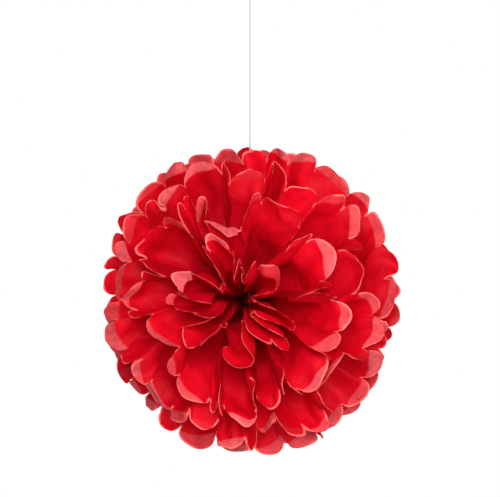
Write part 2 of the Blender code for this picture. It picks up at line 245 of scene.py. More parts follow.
class FanLayout:
    """Where the folds of one fan of one sheet lie, and how each of its petals is bent."""

    def __init__(self, sheet: int, side: Side) -> None:
        """Draw the irregular layout from the sheet's seed.

        Args:
            sheet: index of the sheet, 0 at the front.
            side: the fan's side of the tie.
        """
        self.sheet = sheet
        self.end = side.value
        self.depth = min(sheet, OPENING.sheets - 1 - sheet)
        self.outward = 1 if sheet < OPENING.sheets / 2 else -1
        self.polar = OPENING.first_polar + OPENING.step * sheet
        self.neck = OPENING.neck_outer + OPENING.neck_growth * self.depth
        self.lean = OPENING.fan_lean * math.sqrt(abs(math.cos(self.polar)))
        self.swing_way = 1 if sheet % 2 else -1
        self.neck_half = OPENING.neck_halves[self.depth]
        self.reach = OPENING.reach(PAPER, self.depth)
        count = PAPER.pleats
        rng = np.random.default_rng(2 * OPENING.layout_seeds[sheet] + (self.end > 0))
        self.sign = self.fold_signs(rng)
        self.tangent = self.sign[1:] == self.sign[:-1]
        self.theta = self.fold_angles(rng)
        self.tied = np.arcsin(2 * np.arange(count + 1) / count - 1)
        self.gap = np.diff(self.theta)
        self.mean_gap = np.gradient(self.theta)
        self.wall_gap = self.widest_wall()
        self.swing = rng.uniform(-1, 1, 6)
        self.wobble = rng.uniform(-1, 1, count + 1) * math.radians(2.5) + self.slow_wave() * math.radians(4)
        self.bend = rng.uniform(-1, 1, count + 1) * math.radians(9)
        self.notch = self.reach - PAPER.petal_round + rng.uniform(-0.004, 0.001, count + 1)
        self.amplitude = rng.uniform(0.6, 1.0, count + 1)
        self.curl = self.tip_curls(rng)
        self.crease = rng.uniform(0.0003, 0.0060, count)
        self.crease_slope = rng.uniform(-0.24, 0.24, count)
        self.bulge = rng.uniform(0.35, 0.85, count)
        self.sideways = np.where(rng.random(count) < 0.5, -1, 1) * rng.uniform(0.1, 0.6, count)
        self.softness = rng.uniform(0.4, 1.0, count)
        looks = np.random.default_rng(OPENING.looks_seed + 2 * sheet + (self.end > 0))
        # How strongly each petal's folded tip takes the painted highlight.
        self.paleness = np.clip(looks.normal(0.85, 0.22, count), 0.15, 1)
        self.flutter = looks.uniform(-1, 1, (3, count))
        self.tone = looks.uniform(-1, 1, count)

    def fold_signs(self, rng: np.random.Generator) -> Array:
        """Draw which side of the sheet's mean surface each fold stands on.

        Args:
            rng: the layout's random numbers.

        Returns:
            1 or -1 for each fold.
        """
        signs: list[int] = []
        value = self.end
        while len(signs) < PAPER.pleats + 1:
            paired = OPENING.paired_outer if value == self.outward else OPENING.paired_inner
            share = paired[self.depth]
            run = 2 if rng.random() < share else 1
            signs += [value] * run
            value = -value
        return np.array(signs[:PAPER.pleats + 1])

    def fold_angles(self, rng: np.random.Generator) -> Array:
        """Draw where each fold lies round the flower's axis.

        Args:
            rng: the layout's random numbers.

        Returns:
            The angle of each fold, from the bottom to the top.
        """
        ring = self.reach * math.sin(self.polar)
        wide = self.tangent & (self.sign[1:] == self.outward)
        outer, inner, wall = OPENING.gap_weights
        gap = np.where(wide, outer, np.where(self.tangent, inner, wall))
        gap = gap * np.exp(OPENING.gap_spread * rng.uniform(-1, 1, PAPER.pleats))
        most = OPENING.widest_petal * PAPER.pleat / np.where(wide, ring + OPENING.bulge_room, ring)
        least = PAPER.narrowest_walls[self.depth] / ring
        gap = gap * OPENING.fan_reach / gap.sum()
        for _ in range(OPENING.fitting_rounds):
            gap = np.clip(gap, least, most)
            free = (gap < 0.999 * most) & (gap > 1.001 * least)
            if free.any():
                gap[free] *= 1 + (OPENING.fan_reach - gap.sum()) / gap[free].sum()
        theta = np.concatenate([[0], np.cumsum(gap)])
        return (theta / theta[-1] - 0.5) * OPENING.fan_reach

    def widest_wall(self) -> Array:
        """Return, for each fold, the widest angle of the pleats beside it that run in and out."""
        widest = []
        for fold in range(PAPER.pleats + 1):
            beside = [k for k in (fold - 1, fold) if 0 <= k < PAPER.pleats]
            walls = [self.gap[k] for k in beside if not self.tangent[k]]
            widest.append(max(walls or [self.gap[beside[0]]]))
        return np.array(widest)

    def slow_wave(self) -> Array:
        """Return a slow wave along the fan, one value a fold."""
        turn = (self.theta / OPENING.fan_reach + 0.5) * 2 * math.pi
        wave = sum(self.swing[k] * np.sin((k + 1) * turn + 3 * self.swing[k + 3]) / (k + 1) for k in range(3))
        return wave / 1.8

    def tip_curls(self, rng: np.random.Generator) -> Array:
        """Draw how far each petal's tip is folded over.

        Args:
            rng: the layout's random numbers.

        Returns:
            The angle of each pleat's tip, kept small where two tips beside one fold would meet.
        """
        count = PAPER.pleats
        from_axis = math.degrees(self.polar if self.outward > 0 else math.pi - self.polar)
        folded = np.clip(90 - from_axis + rng.normal(10, 18, count), *OPENING.folded_degrees)
        plain = rng.uniform(0, OPENING.plain_degrees, count)
        curl = np.radians(np.where(rng.random(count) < OPENING.folded_tips, folded, plain))
        width = self.gap * self.reach * math.sin(self.polar)
        curl = curl * np.clip((width / PAPER.pleat - 0.15) / 0.45, 0.02, 1)
        depth = 0.8 * np.sqrt(PAPER.pleat ** 2 - np.minimum(width, PAPER.pleat) ** 2)
        reach = OPENING.tip_shoulder * PAPER.petal_round * depth / np.hypot(width, depth)
        for fold in range(1, count):
            first, last = fold - 1, fold
            if self.sign[fold] == self.outward or self.tangent[first] or self.tangent[last]:
                continue
            if curl[first] * width[first] < curl[last] * width[last]:
                first, last = last, first
            room = 0.4 * min(width[first], width[last]) - 2 * PAPER.cad_wall
            for pleat, share in zip((first, last), OPENING.tip_shares):
                most = math.asin(min(max(share * room / reach[pleat], 0.01), 1))
                curl[pleat] = min(curl[pleat], most) if most < 1.5 else curl[pleat]
        return curl

    def ruffle(self, fold: Array, near: Array, opened: Array, spread: Array) -> Array:
        """Return how far folds stand off the sheet's mean surface.

        Args:
            fold: index of the fold for each column.
            near: distance of each point from the flower's axis.
            opened: how far the ruffle is opened there, 0 to 1.
            spread: how far the folds have left their tied places, 0 to 1.

        Returns:
            The offset of each point, outward sheets' side positive.
        """
        even = OPENING.fan_reach / PAPER.pleats
        wall = even + (self.wall_gap[fold][:, None] - even) * spread
        mean = even + (self.mean_gap[fold][:, None] - even) * spread
        full = 0.5 * np.sqrt(np.clip(PAPER.pleat ** 2 - (wall * near) ** 2, 1e-9, None))
        gathered = OPENING.gathering * mean * near * (1 + OPENING.opened_more * opened)
        return (self.sign[fold] * self.amplitude[fold])[:, None] * np.minimum(full, gathered)

    def in_lane(self, offset: Array, along: Array) -> Array:
        """Keep the ruffles in this sheet's share of the space between its neighbours.

        Args:
            offset: how far each point stands off the sheet's mean surface.
            along: distance of each point from the neck.

        Returns:
            The offset, eased so that it stays inside that share.
        """
        taper = smooth(along / self.reach, *OPENING.taper_range)
        lane = OPENING.neck_pitch + OPENING.lane_share * OPENING.step * along
        outer, inner = [(OPENING.lane_side - fall * taper) * lane - OPENING.wall_room * PAPER.cad_wall
                        for fall in OPENING.lane_tapers]
        limit = np.where(offset * self.outward > 0, outer, inner)
        return offset / (1 + np.abs(offset / limit) ** 4) ** 0.25

    def rim(self, pleat: Array, share: Array) -> tuple[Array, Array]:
        """Return where the petals' cut edge lies.

        Args:
            pleat: index of each column's pleat.
            share: how far across its pleat each column lies, 0 to 1.

        Returns:
            How round the petal is at each column, 0 to 1, and how far out its cut edge lies.
        """
        cap = np.sqrt(np.clip(1 - np.abs(2 * share - 1) ** PAPER.petal_shape, 0, 1))
        notch = (1 - share) * self.notch[pleat] + share * self.notch[pleat + 1]
        return cap, notch + PAPER.petal_round * cap

    def rows(self, pleat: Array, share: Array) -> tuple[Array, Array]:
        """Return how far along the petal every grid point lies.

        Args:
            pleat: index of each column's pleat.
            share: how far across its pleat each column lies, 0 to 1.

        Returns:
            The crease of each column, and the distances, a column a line.
        """
        cap, tip = self.rim(pleat, share)
        notch = tip - PAPER.petal_round * cap
        slope = self.crease_slope[pleat] * (share - 0.5) * PAPER.pleat
        crease = notch + (self.crease[pleat] + slope) * smooth(cap, 0, 0.5)
        crease = np.minimum(crease, tip - PAPER.cut_margin)
        bent = np.minimum(crease + PAPER.crease_radius * self.curl[pleat] + 1e-5, tip - PAPER.cut_margin / 2)
        below, over, past = PAPER.grid_rows
        along = [crease[:, None] * np.linspace(0, 1, below)[None, :] ** PAPER.row_bias]
        for low, high, count in ((crease, bent, over), (bent, tip, past)):
            steps = np.linspace(0, 1, count + 1)[1:]
            along.append(low[:, None] + (high - low)[:, None] * steps[None, :])
        return crease, np.concatenate(along, 1)

    def points(self, pleat: Array, share: Array) -> tuple[Array, dict[str, Array]]:
        """Return the fan's surface.

        Args:
            pleat: index of each column's pleat.
            share: how far across its pleat each column lies, 0 to 1.

        Returns:
            The points, a column a line, and what the paper is like at each: how far along the petal it is,
            how much painted highlight it takes on a folded tip, how far in from the cut edge it lies, the
            tone of its petal, and how freely it can move.
        """
        crease, along = self.rows(pleat, share)
        quotient = along / self.reach
        near = self.neck + along * math.sin(self.polar)
        opened = smooth(along, *OPENING.ruffle_range)
        spread = smooth(along, *OPENING.spread_range)
        even = OPENING.fan_reach / PAPER.pleats
        eased = 0.5 * (1 - np.cos(math.pi * share))
        eased = share + (eased - share) * self.softness[pleat]

        def across(values: Array) -> Array:
            """Return values given at the folds, read at each column."""
            return ((1 - eased) * values[pleat] + eased * values[pleat + 1])[:, None]

        first = self.ruffle(pleat, near, opened, spread)
        last = self.ruffle(pleat + 1, near, opened, spread)
        offset = (1 - eased)[:, None] * first + eased[:, None] * last
        width = (even + (self.gap[pleat][:, None] - even) * spread) * near
        chord = np.sqrt(width ** 2 + (last - first) ** 2)
        # A flat arc rises by the root of 3/8 of its chord times what it is longer than the chord
        rise = np.sqrt(3 / 8 * chord * np.clip(PAPER.pleat - chord, 0, None))
        rise = np.minimum(rise, 0.8 * width) * np.sin(math.pi * share)[:, None] * opened
        tangent = self.tangent[pleat][:, None]
        offset = offset + np.where(tangent, (self.sign[pleat] * self.bulge[pleat])[:, None] * rise, 0)
        offset = offset + along * across(self.wobble)
        offset = offset + along * across(self.bend) * (quotient ** 2 - 0.5)
        offset = self.in_lane(offset, along)
        room = np.clip(width / (PAPER.roomy_width * PAPER.pleat), PAPER.least_room, 1.0)
        offset = offset + self.fluttered(pleat, share, quotient) * room

        theta = self.fold_theta(pleat, share, along, spread)
        polar = self.polar + self.outward * self.lean * (quotient ** 2 / 3 - 0.4)
        out = direction(polar, theta)
        back = direction(polar + math.pi / 2, theta)
        side = np.stack([-np.sin(theta), 0 * theta, np.cos(theta)], -1)
        neck = [self.neck_half + self.neck * np.cos(theta), 0 * theta, self.neck * np.sin(theta)]
        points = np.stack(neck, -1) + out * along[..., None] + back * offset[..., None]
        slip = OPENING.slip * self.sideways[pleat][:, None] * rise
        slip = slip * smooth(width / PAPER.pleat, *OPENING.slip_widths)
        points = points + side * np.where(tangent, 0, slip)[..., None]

        wall = (back * width[..., None] - side * (last - first)[..., None]) / (chord[..., None] + 1e-9)
        closed = back * self.sign[pleat][:, None, None]
        normal = np.where(tangent[..., None], closed, wall * self.outward)
        past = np.clip(along - crease[:, None], 0, None)
        points = points + self.folded_tip(pleat, past, out, normal)
        level = ((OPENING.sheets - 1) / 2 - self.sheet) * OPENING.neck_pitch
        points = np.stack([self.end * points[..., 0], -(points[..., 1] + level), points[..., 2]], -1)

        # Painted highlight: tips curled over far enough are marked to turn pale, scaled per petal by
        # paleness.
        curl = self.curl[pleat][:, None]
        pale = np.clip((curl - PAPER.pale_from) / PAPER.pale_fade, 0, 1)
        tip = np.clip(past / PAPER.crease_radius, 0, 1) * pale
        looks = {
            "along_petal": along,
            "folded_tip": tip * self.paleness[pleat][:, None],
            "cut_edge": self.edge_distance(pleat, share, along),
            "petal_tone": np.repeat(self.tone[pleat][:, None], along.shape[1], 1),
            "room": room,
        }
        return rumpled(points), looks

    def fluttered(self, pleat: Array, share: Array, quotient: Array) -> Array:
        """Return how far the loose end of each petal waves.

        Args:
            pleat: index of each column's pleat.
            share: how far across its pleat each column lies, 0 to 1.
            quotient: how far along its petal each point lies, 0 to 1.

        Returns:
            How far each point moves off the sheet.
        """
        first, last, shift = self.flutter[:, pleat]
        wave = first * np.sin(math.pi * share) + last * np.sin(2 * math.pi * share) * (1 + 0.5 * shift)
        ripple = 0.35 * shift * np.sin(3 * math.pi * share)
        return PAPER.flutter * (wave + ripple)[:, None] * smooth(quotient, *PAPER.flutter_range)

    def fold_theta(self, pleat: Array, share: Array, along: Array, spread: Array) -> Array:
        """Return each point's angle round the flower's axis.

        Args:
            pleat: index of each column's pleat.
            share: how far across its pleat each column lies, 0 to 1.
            along: distance of each point from the neck.
            spread: how far the folds have left their tied places, 0 to 1.

        Returns:
            The angles, with the seam's drift and swing.
        """
        own = (1 - share) * self.theta[pleat] + share * self.theta[pleat + 1]
        tied = (1 - share) * self.tied[pleat] + share * self.tied[pleat + 1]
        turn = own / OPENING.fan_reach + 0.5
        waves = [self.swing[k] * np.sin(2 * math.pi * (k + 1) * turn + 5 * self.swing[k]) / (k + 1)
                 for k in range(3)]
        drift = sum(waves) * np.sin(math.pi * turn) * OPENING.seam_drift * OPENING.fan_reach
        theta = tied[:, None] + (own - tied)[:, None] * spread + drift[:, None] * (along / self.reach) ** 2
        return theta + self.end * self.swing_way * OPENING.seam_swing * smooth(along, *OPENING.swing_range)

    def folded_tip(self, pleat: Array, past: Array, out: Array, normal: Array) -> Array:
        """Return how the points past a petal's crease move when its tip is folded over.

        Args:
            pleat: index of each column's pleat.
            past: how far past the crease each point lies.
            out: direction along the petal.
            normal: direction that the tip turns to.

        Returns:
            The move of each point.
        """
        curl = self.curl[pleat][:, None]
        radius = PAPER.crease_radius
        turned = np.minimum(past / radius, curl)
        rest = np.clip(past - radius * curl, 0, None)
        ahead = radius * np.sin(turned) + rest * np.cos(curl) - past
        aside = radius * (1 - np.cos(turned)) + rest * np.sin(curl)
        return out * ahead[..., None] + normal * aside[..., None]

    def edge_distance(self, pleat: Array, share: Array, along: Array) -> Array:
        """Measure how far each point lies from the petals' cut edge, in the flat sheet.

        Args:
            pleat: index of each column's pleat.
            share: how far across its pleat each column lies, 0 to 1.
            along: distance of each point from the neck.

        Returns:
            The distances, in metres.
        """
        fine = 0.5 - 0.5 * np.cos(np.linspace(0, math.pi, PAPER.edge_points)[:-1])
        cut = np.concatenate([k + fine for k in range(PAPER.pleats)] + [[PAPER.pleats - 1e-9]])
        cut_pleat = cut.astype(int)
        edge = self.rim(cut_pleat, cut - cut_pleat)[1]
        distance = np.empty_like(along)
        for column, place in enumerate(pleat + share):
            near = np.abs(cut - place) < PAPER.edge_window
            sideways = (cut[near] - place)[None, :] * PAPER.pleat
            distance[column] = np.hypot(sideways, edge[near][None, :] - along[column][:, None]).min(1)
        return distance


class NodeTool:
    """A material's or group's node tree, with short ways to add and join nodes."""

    def __init__(self, tree: bpy.types.NodeTree) -> None:
        """Keep the tree that nodes are added to."""
        self.tree = tree

    def add(self, kind: str, inputs: dict[object, object] | None = None, **settings: object) -> Node:
        """Add a node.

        Args:
            kind: the node's type name.
            inputs: values for its sockets, or sockets that feed them.
            settings: values for the node's own settings.

        Returns:
            The new node.
        """
        node = self.tree.nodes.new(kind)
        for name, value in settings.items():
            setattr(node, name, value)
        return self.feed(node, inputs or {})

    def feed(self, node: Node, inputs: dict[object, object]) -> Node:
        """Give a node's sockets their values.

        Args:
            node: the node.
            inputs: a value, or a socket that feeds it, for each socket.

        Returns:
            The node.
        """
        for key, value in inputs.items():
            if isinstance(value, Socket):
                self.tree.links.new(value, node.inputs[key])
            else:
                node.inputs[key].default_value = value
        return node

    def attribute(self, name: str) -> Socket:
        """Return the value of a mesh's attribute."""
        return self.add("ShaderNodeAttribute", attribute_name=name).outputs["Fac"]

    def coordinates(self) -> Socket:
        """Return the place on the object, in metres."""
        return self.add("ShaderNodeTexCoord").outputs["Object"]

    def noise(self, vector: object, scale: object, detail: float, **more: float) -> Socket:
        """Return the value of a noise pattern."""
        inputs = {"Vector": vector, "Scale": scale, "Detail": detail, **more}
        return self.add("ShaderNodeTexNoise", inputs).outputs["Fac"]

    def bump(self, height: object, strength: float, distance: float) -> Socket:
        """Return a surface direction that leans as a height pattern does."""
        inputs = {"Height": height, "Strength": strength, "Distance": distance}
        return self.add("ShaderNodeBump", inputs).outputs[0]

    def scaled(self, colour: object, share: object) -> Socket:
        """Return a colour made darker or lighter by a share."""
        return self.add("ShaderNodeVectorMath", {0: colour, "Scale": share}, operation="SCALE").outputs[0]

    def math(self, operation: str, first: object, second: object = 0.0) -> Socket:
        """Return the result of one sum on two values."""
        return self.add("ShaderNodeMath", {0: first, 1: second}, operation=operation).outputs[0]

    def ramp(self, value: object, low: float, high: float, start: float = 0.0, end: float = 1.0) -> Socket:
        """Return a smooth ramp of value: start below low, end above high."""
        inputs = {"Value": value, "From Min": low, "From Max": high, "To Min": start, "To Max": end}
        return self.add("ShaderNodeMapRange", inputs, interpolation_type="SMOOTHSTEP").outputs[0]

    def mix(self, share: object, first: object, second: object) -> Socket:
        """Return a mixture of two colours."""
        return self.add("ShaderNodeMix", {0: share, 6: first, 7: second}, data_type="RGBA").outputs[2]


class FibreCloud:
    """Shared effect: the cloudy, fibrous look of paper and cotton, as one node group."""

    name = "fibre_cloud"

    def group(self) -> bpy.types.NodeTree:
        """Return the node group, built on its first use.

        Returns:
            A group with inputs Vector, Cloud Size and Fibre Size in metres, and outputs Cloud and Fibres.
        """
        found = bpy.data.node_groups.get(self.name)
        if found:
            return found
        tree = bpy.data.node_groups.new(self.name, "ShaderNodeTree")
        tree.interface.new_socket("Vector", in_out="INPUT", socket_type="NodeSocketVector")
        for label, size in (("Cloud Size", 0.010), ("Fibre Size", 0.0012)):
            socket = tree.interface.new_socket(label, in_out="INPUT", socket_type="NodeSocketFloat")
            socket.default_value = size
        for label in ("Cloud", "Fibres"):
            tree.interface.new_socket(label, in_out="OUTPUT", socket_type="NodeSocketFloat")
        tool = NodeTool(tree)
        start = tool.add("NodeGroupInput")
        cloud_scale = tool.math("DIVIDE", 1.0, start.outputs["Cloud Size"])
        fibre_scale = tool.math("DIVIDE", 1.0, start.outputs["Fibre Size"])
        vector = start.outputs["Vector"]
        tool.add("NodeGroupOutput", {"Cloud": tool.noise(vector, cloud_scale, 3.0, Roughness=0.55),
                                     "Fibres": tool.noise(vector, fibre_scale, 2.0, Distortion=1.4)})
        return tree

    def place(self, tool: NodeTool, vector: Socket, cloud: float, fibre: float) -> Node:
        """Add the effect to a material, with clouds and fibres of these sizes in metres."""
        inputs = {"Vector": vector, "Cloud Size": cloud, "Fibre Size": fibre}
        return tool.add("ShaderNodeGroup", inputs, node_tree=self.group())


def blank_material(name: str) -> tuple[bpy.types.Material, NodeTool, Node, Node]:
    """Make a material with nodes.

    Args:
        name: the material's name.

    Returns:
        The material, its node tool, its Principled shader and its output node.
    """
    material = bpy.data.materials.new(name)
    material.use_nodes = True
    tool = NodeTool(material.node_tree)
    nodes = material.node_tree.nodes
    return material, tool, nodes["Principled BSDF"], nodes["Material Output"]


@dataclass(frozen=True)
class DyedTissue:
    """Finish of the red tissue: deep red dye with painted shade near the tie, painted highlights on the
    folded tips and along the cut edge, light coming through.
    """

    red: tuple[float, float, float] = (0.60, 0.0005, 0.014)
    hollow_shade_red: tuple[float, float, float] = (0.12, 0.0004, 0.006)
    tip_highlight_red: tuple[float, float, float] = (0.78, 0.112, 0.128)
    edge_highlight_red: tuple[float, float, float] = (0.95, 0.20, 0.19)
    glow_red: tuple[float, float, float] = (0.95, 0.001, 0.006)
    edge_highlight_width: float = 0.0022
    through: float = 0.40
    roughness: float = 0.6
    mottle_scale: float = 260.0
    patch_scale: float = 45.0
    crinkle_scale: float = 55.0
    crease_scale: float = 120.0
    crease_height: float = 0.0012

    def build(self) -> bpy.types.Material:
        """Return the finish as a material on the sheets' flat coordinates and attributes."""
        material, tool, shader, output = blank_material("tissue_red")
        flat = tool.add("ShaderNodeUVMap", uv_map="flat_sheet").outputs[0]
        fibre = FibreCloud().place(tool, flat, 0.009, 0.0008)
        tip = tool.attribute("folded_tip")

        # Painted shade: the red darkens to near black close to the tie, where the hollow between the sheets
        # is in shade.
        depth = tool.ramp(tool.attribute("along_petal"), 0.006, 0.036)
        body = tool.mix(depth, (*self.hollow_shade_red, 1), (*self.red, 1))
        tone = tool.ramp(fibre.outputs["Cloud"], 0.30, 0.70, 0.90, 1.06)
        tone = tool.math("MULTIPLY", tone, tool.ramp(tool.attribute("petal_tone"), -1.0, 1.0, 0.86, 1.08))
        body = tool.scaled(body, tone)
        mottle = tool.noise(flat, self.mottle_scale, 3.0)
        grain = tool.math("MULTIPLY", tool.ramp(fibre.outputs["Fibres"], 0.30, 0.75, 0.92, 1.05),
                          tool.ramp(mottle, 0.35, 0.65, 0.84, 1.08))
        # Painted highlight: folded tips turn a pale pink, as if they faced the lamps with a sheen.
        pale = tool.scaled(self.tip_highlight_red, grain)
        colour = tool.mix(tip, body, pale)
        # Painted highlight: a pale bright red band along the cut edge, wider and brighter in patches.
        patchy = tool.noise(flat, self.patch_scale, 2.0)
        width = tool.ramp(patchy, 0.38, 0.62, 0.2 * self.edge_highlight_width, self.edge_highlight_width)
        bright = tool.ramp(patchy, 0.34, 0.52, 0.45, 1.0)
        from_edge = tool.math("DIVIDE", tool.attribute("cut_edge"), width)
        rim = tool.math("MULTIPLY", tool.ramp(from_edge, 0.5, 1.0, 1.0, 0.0), bright)
        colour = tool.mix(rim, colour, (*self.edge_highlight_red, 1))

        cells = {"Vector": flat, "Scale": self.crinkle_scale, "Randomness": 1.0}
        crinkle = tool.add("ShaderNodeTexVoronoi", cells, feature="DISTANCE_TO_EDGE")
        ridge = tool.ramp(crinkle.outputs["Distance"], 0.0, 0.25)
        soft = tool.noise(flat, self.crease_scale, 2.0)
        height = tool.math("ADD", tool.math("MULTIPLY", ridge, 0.35), soft)
        height = tool.math("ADD", height, tool.math("MULTIPLY", fibre.outputs["Fibres"], 0.12))
        normal = tool.bump(height, 0.5, self.crease_height)

        shader.inputs["Specular IOR Level"].default_value = 0.13
        tool.feed(shader, {"Roughness": self.roughness, "Base Color": colour, "Normal": normal})
        # The light through the folded tips takes the same pale colour as their painted highlight.
        glow = tool.mix(tip, (*self.glow_red, 1), pale)
        light = tool.add("ShaderNodeBsdfTranslucent", {"Color": glow, "Normal": normal}).outputs[0]
        both = tool.add("ShaderNodeMixShader", {0: self.through, 1: shader.outputs[0], 2: light})
        tool.feed(output, {0: both.outputs[0]})
        return material


@dataclass(frozen=True)
class CottonThread:
    """Finish of the white sewing thread: dull, with painted shade in the grooves between its plies."""

    white: tuple[float, float, float] = (0.46, 0.45, 0.43)
    groove: tuple[float, float, float] = (0.22, 0.21, 0.20)
    roughness: float = 0.85
    fibre_height: float = 0.0001

    def build(self) -> bpy.types.Material:
        """Return the finish as a material that reads the thread's ply attribute."""
        material, tool, shader, _ = blank_material("thread_white")
        fibres = FibreCloud().place(tool, tool.coordinates(), 0.004, 0.00025).outputs["Fibres"]
        # Painted shade: the thread turns to the groove colour where its ply attribute falls, between the
        # plies.
        lift = tool.math("ADD", tool.attribute("ply"), tool.math("MULTIPLY", fibres, 0.3))
        colour = tool.mix(tool.ramp(lift, 0.1, 0.8), (*self.groove, 1), (*self.white, 1))
        normal = tool.bump(fibres, 0.5, self.fibre_height)
        shader.inputs["Sheen Weight"].default_value = 0.1
        tool.feed(shader, {"Roughness": self.roughness, "Base Color": colour, "Normal": normal})
        return material


@dataclass(frozen=True)
class FloristWire:
    """Finish of the tie wire: steel annealed black, with fine duller patches."""

    steel: tuple[float, float, float] = (0.07, 0.067, 0.064)
    dull: tuple[float, float, float] = (0.03, 0.028, 0.026)

    def build(self) -> bpy.types.Material:
        """Return the finish as a material."""
        material, tool, shader, _ = blank_material("tie_wire")
        shader.inputs["Specular IOR Level"].default_value = 0.1
        cloud = FibreCloud().place(tool, tool.coordinates(), 0.003, 0.0003)
        patch = tool.ramp(cloud.outputs["Cloud"], 0.40, 0.65)
        colour = tool.mix(patch, (*self.steel, 1), (*self.dull, 1))
        rough = tool.ramp(cloud.outputs["Fibres"], 0.3, 0.7, 0.42, 0.60)
        tool.feed(shader, {"Metallic": 0.2, "Base Color": colour, "Roughness": rough})
        return material


def deselect() -> None:
    """Deselect everything, so that an operator acts on the new piece alone."""
    bpy.ops.object.select_all(action="DESELECT")


def set_floats(mesh: bpy.types.Mesh, name: str, values: Array) -> None:
    """Write one number a vertex to a mesh as an attribute."""
    attribute = mesh.attributes.new(name, "FLOAT", "POINT")
    attribute.data.foreach_set("value", np.ascontiguousarray(values, dtype=np.float32).ravel())


@dataclass
class TissueSheet:
    """One sheet of tissue, from a flat grid to its folded, tied and opened form."""

    index: int
    crumple: float = 0.0009
    crumple_seed: int = 700
    crumple_waves: tuple[tuple[float, float], ...] = ((0.041, 1.0), (0.029, 0.7), (0.019, 0.45), (0.013, 0.3))
    crumple_bend: float = 0.6
    bend_rates: tuple[float, float] = (90, 70)
    crumple_range: tuple[float, float] = (0.030, 0.090)
    rim_range: tuple[float, float] = (0.095, 0.118)
    rim_extra: float = 0.8
    sharp_angle: float = math.radians(55)
    column_shares: tuple[float, ...] = (0.0, 0.02, 0.06, 0.12, 0.20, 0.30, 0.40,
                                        0.5, 0.60, 0.70, 0.80, 0.88, 0.94, 0.98)

    @property
    def node(self) -> str:
        """Return the name of the CAD node that this sheet stands for."""
        return f"sheet_{self.index + 1}"

    def surface(self) -> tuple[Array, Array, dict[str, Array]]:
        """Work out the opened sheet.

        Returns:
            The points, a line for each column from one fan's rim to the other's, the flat sheet's own
            coordinates there, and the attributes that the finish reads.
        """
        count = PAPER.pleats
        places = np.array([k + share for k in range(count) for share in self.column_shares] + [count])
        pleat = np.minimum(places.astype(int), count - 1)
        fans = []
        for side in (Side.LEFT, Side.RIGHT):
            layout = FanLayout(self.index, side)
            points, looks = layout.points(pleat, places - pleat)
            from_middle = looks["along_petal"] + (layout.neck_half + OPENING.neck_outer)
            looks |= {"points": points, "flat_y": side.value * from_middle}
            fans.append({name: value[:, ::side.value] for name, value in looks.items()})
        looks = {name: np.concatenate([fan[name] for fan in fans], 1) for name in fans[0]}
        flat_y = looks.pop("flat_y")
        flat_x = np.repeat((places * PAPER.pleat)[:, None], flat_y.shape[1], 1)
        points = self.crumpled(looks.pop("points"), flat_x, flat_y, looks["along_petal"], looks.pop("room"))
        return points, np.stack([flat_x, flat_y], -1), looks

    def crumpled(self, points: Array, x: Array, y: Array, along: Array, room: Array) -> Array:
        """Press small sharp crumples into the paper.

        Args:
            points: the opened sheet's points.
            x: the flat sheet's coordinate across the pleats.
            y: the flat sheet's coordinate along them.
            along: distance of each point from the neck.
            room: how freely the paper can move, from 0 to 1: less where two pleats lie close together.

        Returns:
            The crumpled points.
        """
        rng = np.random.default_rng(self.crumple_seed + self.index)
        height = np.zeros_like(x)
        rate_y, rate_x = self.bend_rates
        for wave, share in self.crumple_waves:
            for _ in range(3):
                turn = rng.uniform(0, math.pi)
                phase = rng.uniform(0, 2 * math.pi)
                bent = self.crumple_bend * (np.sin(y * rate_y + phase) + np.sin(x * rate_x + 2 * phase))
                place = (x * math.cos(turn) + y * math.sin(turn)) * 2 * math.pi / wave + phase + bent
                height += share * (0.6 - np.abs(np.sin(place / 2)))
        lengthwise = np.gradient(points, axis=1)
        crosswise = np.gradient(points, axis=0)
        normal = np.cross(lengthwise, crosswise)
        normal /= np.maximum(np.linalg.norm(normal, axis=-1, keepdims=True), 1e-12)
        grown = smooth(along, *self.crumple_range) + self.rim_extra * smooth(along, *self.rim_range)
        return points + normal * (self.crumple * height * grown * room)[..., None]

    def build(self, finish: bpy.types.Material) -> bpy.types.Object:
        """Make the sheet's mesh and dress it.

        Args:
            finish: the tissue's material.

        Returns:
            The finished piece, standing for its CAD node.
        """
        points, flat, looks = self.surface()
        columns, rows = points.shape[0] - 1, points.shape[1] - 1
        deselect()
        bpy.ops.mesh.primitive_grid_add(x_subdivisions=columns, y_subdivisions=rows, size=2)
        obj = bpy.context.object
        mesh = obj.data
        place = np.empty(len(mesh.vertices) * 3)
        mesh.vertices.foreach_get("co", place)
        place = place.reshape(-1, 3)
        column = np.rint((place[:, 0] + 1) / 2 * columns).astype(int)
        row = np.rint((place[:, 1] + 1) / 2 * rows).astype(int)
        mesh.vertices.foreach_set("co", points[column, row].ravel())
        for name, values in looks.items():
            set_floats(mesh, name, values[column, row])
        corner = np.empty(len(mesh.loops), dtype=np.int32)
        mesh.loops.foreach_get("vertex_index", corner)
        mesh.uv_layers[0].name = "flat_sheet"
        mesh.uv_layers[0].data.foreach_set("uv", flat[column, row][corner].ravel())
        shell = obj.modifiers.new("paper_wall", "SOLIDIFY")
        shell.thickness = PAPER.wall
        shell.offset = 0
        shell.use_quality_normals = True
        bpy.ops.object.modifier_apply(modifier=shell.name)
        bpy.ops.object.shade_smooth_by_angle(angle=self.sharp_angle)
        obj.name = f"tissue_{self.node}"
        mesh.name = obj.name
        return dress(obj, finish, self.node)


